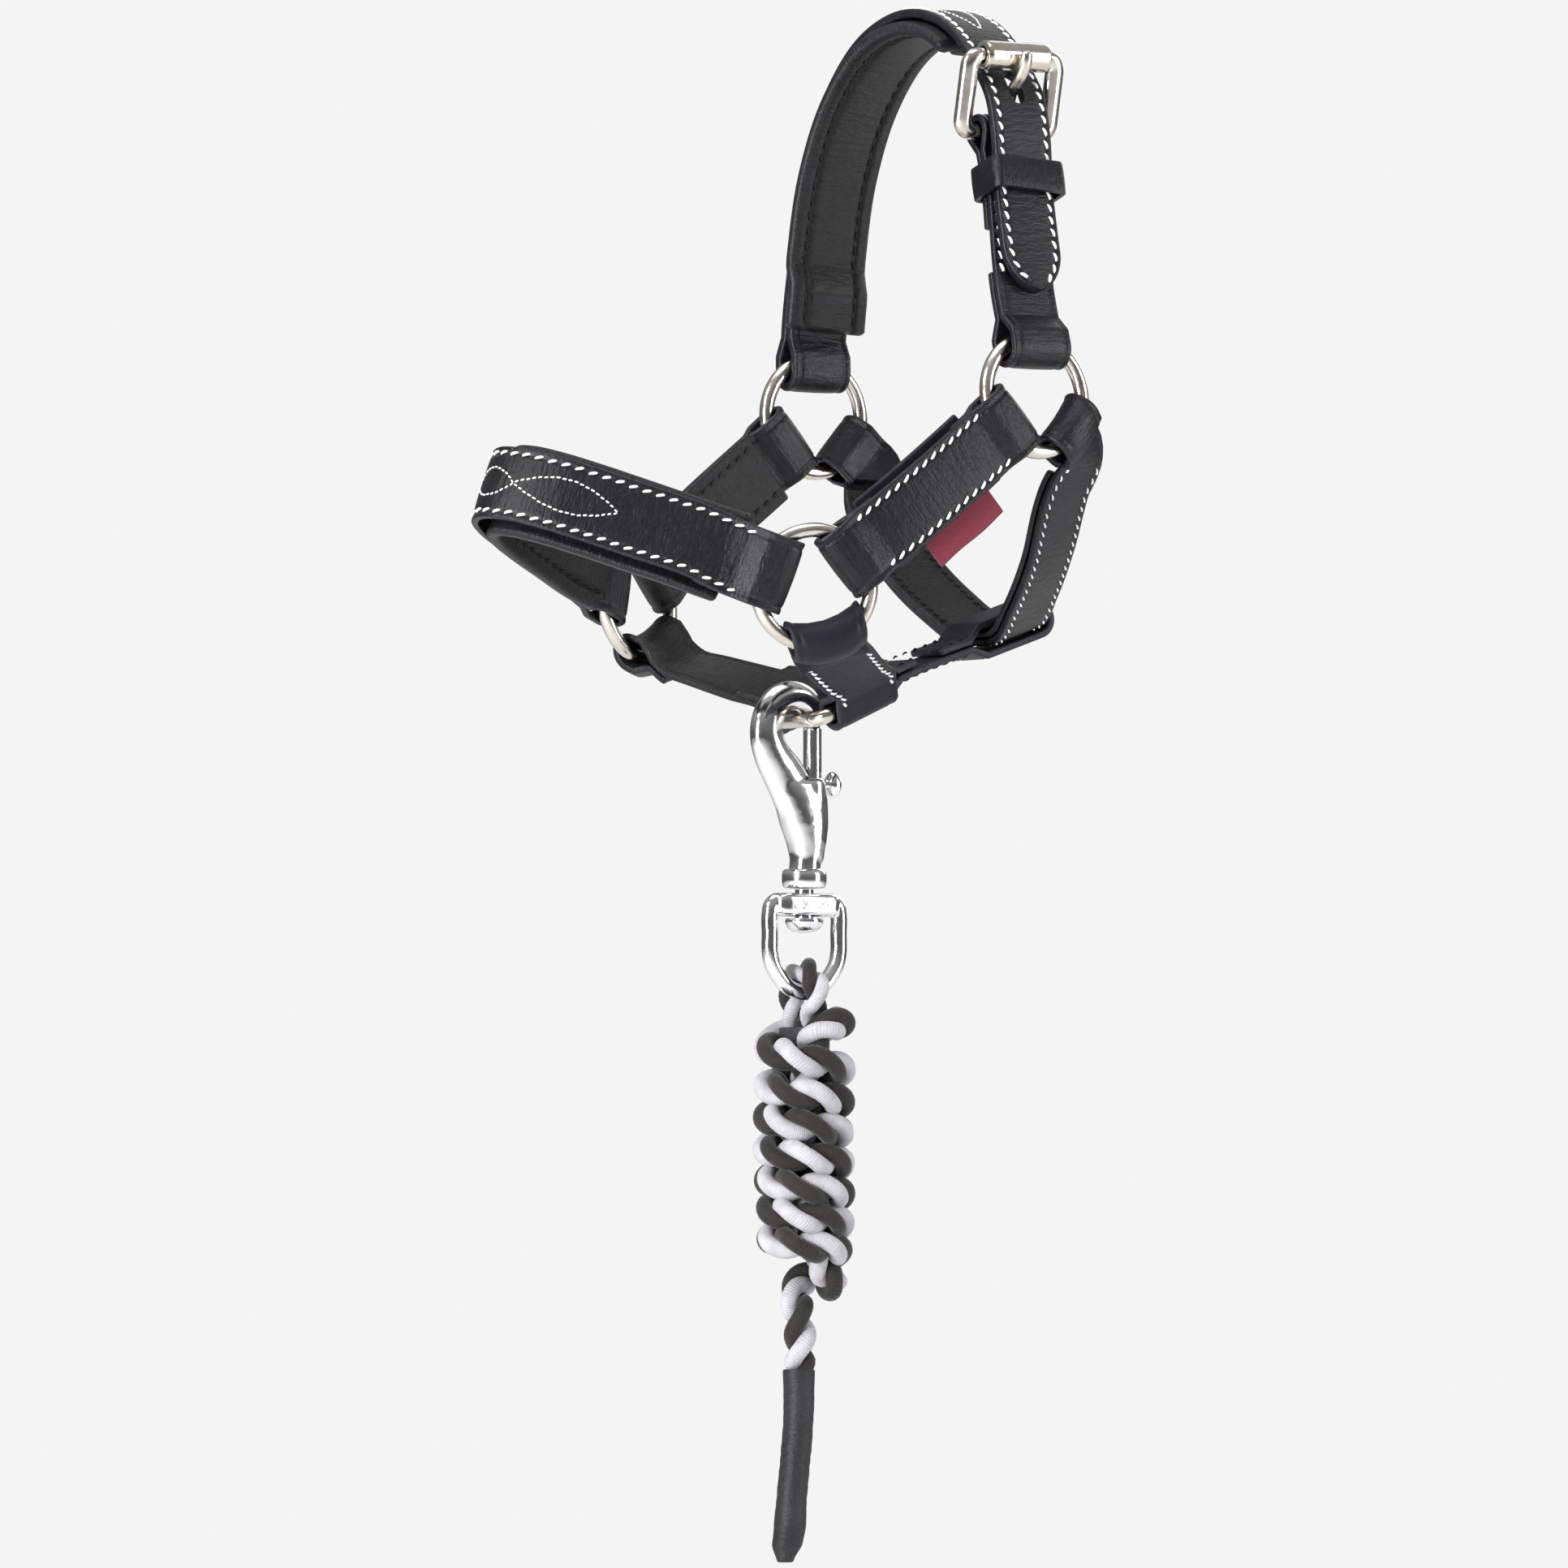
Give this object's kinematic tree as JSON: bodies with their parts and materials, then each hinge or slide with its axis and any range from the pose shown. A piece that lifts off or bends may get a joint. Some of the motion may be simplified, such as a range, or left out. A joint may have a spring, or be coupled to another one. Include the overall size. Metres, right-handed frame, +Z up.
{
  "type": "headcollar with lead rope",
  "caption": "Miniature leather headcollar with rolled metal rings, roller-buckle crown, padded noseband, chin ring, bolt snap and a coiled lead rope.",
  "frame": {"origin": "top middle of the arch under the crown padding, where the headcollar rests on the poll", "axes": "+Z up, -X toward the nose, -Y toward the side with the buckle"},
  "size_m": [0.1364, 0.093, 0.3205],
  "materials": {
    "leather_black": "smooth semi-gloss",
    "lining_black": "soft matt",
    "nickel": "polished nickel plate",
    "chrome": "polished",
    "spring_steel": "plain",
    "label_red": "woven",
    "rope": "twisted cord",
    "band_leather": "matt",
    "sleeve": "matt"
  },
  "bodies": {
    "headcollar": {"crown_strap": "leather_black", "crown_padding": "lining_black", "buckle_strap": "leather_black", "buckle_frame": "nickel", "cheek_strap_near": "leather_black", "cheek_strap_far": "leather_black", "cheek_lining_near": "lining_black", "cheek_lining_far": "lining_black", "label_tab": "label_red", "noseband_strap": "leather_black", "noseband_padding": "lining_black", "chin_strap_near": "leather_black", "chin_strap_far": "leather_black", "throat_strap": "leather_black", "throat_lining": "lining_black", "jaw_strap": "leather_black", "chin_ring": "nickel"},
    "roller": {"buckle_roller": "nickel"},
    "tongue": {"buckle_tongue": "nickel"},
    "keeper": {"keeper_loop": "leather_black"},
    "upper_near": {"upper_ring_near": "nickel"},
    "upper_far": {"upper_ring_far": "nickel"},
    "lower_near": {"lower_ring_near": "nickel"},
    "lower_far": {"lower_ring_far": "nickel"},
    "snap": {"snap_body": "chrome", "swivel_rivet": "chrome", "snap_spring": "spring_steel"},
    "bolt": {"snap_bolt": "chrome"},
    "swivel": {"swivel_eye": "chrome"},
    "rope": {"rope_eye": "rope", "rope_band": "band_leather", "rope_hank": "rope", "rope_tail": "rope", "rope_end_sleeve": "sleeve"}
  },
  "joints": [
    {"name": "roller_spin", "type": "hinge", "parent": "headcollar", "child": "roller", "pos_m": [-0.001, -0.0293, -0.006], "axis": [1, 0, 0], "continuous": true},
    {"name": "tongue_hinge", "type": "hinge", "parent": "headcollar", "child": "tongue", "pos_m": [-0.0013, -0.0262, -0.0216], "axis": [1, 0, 0], "range_deg": [-2, 3]},
    {"name": "keeper_slide", "type": "slide", "parent": "headcollar", "child": "keeper", "axis": [-0.07, -0.3019, -0.9508], "range_m": [-0.0015, 0.0015]},
    {"name": "upper_near_spin", "type": "hinge", "parent": "headcollar", "child": "upper_near", "pos_m": [-0.004, -0.0413, -0.0764], "axis": [0, -0.993, 0.1178], "continuous": true},
    {"name": "upper_far_spin", "type": "hinge", "parent": "headcollar", "child": "upper_far", "pos_m": [-0.004, 0.0413, -0.0764], "axis": [0, 1, 0], "continuous": true},
    {"name": "lower_near_spin", "type": "hinge", "parent": "headcollar", "child": "lower_near", "pos_m": [-0.0527, -0.0336, -0.1167], "axis": [-0.3645, -0.9228, -0.1248], "continuous": true},
    {"name": "lower_far_spin", "type": "hinge", "parent": "headcollar", "child": "lower_far", "pos_m": [-0.0527, 0.0336, -0.1167], "axis": [-0.3645, 0.9228, -0.1248], "continuous": true},
    {"name": "snap_swing", "type": "hinge", "parent": "headcollar", "child": "snap", "pos_m": [-0.03553, 0, -0.14217], "axis": [0, 1, 0], "range_deg": [-15, 45]},
    {"name": "bolt_slide", "type": "slide", "parent": "snap", "child": "bolt", "axis": [0, 0, -1], "range_m": [0, 0.006], "stiffness_N_per_m": 250, "springref_m": -0.003, "deforming": ["snap_spring"]},
    {"name": "swivel_spin", "type": "hinge", "parent": "snap", "child": "swivel", "pos_m": [-0.0332, 0, -0.1799], "axis": [0, 0, 1], "continuous": true},
    {"name": "rope_swing", "type": "hinge", "parent": "swivel", "child": "rope", "pos_m": [-0.0332, 0, -0.1978], "axis": [1, 0, 0], "range_deg": [-45, 45]}
  ]
}
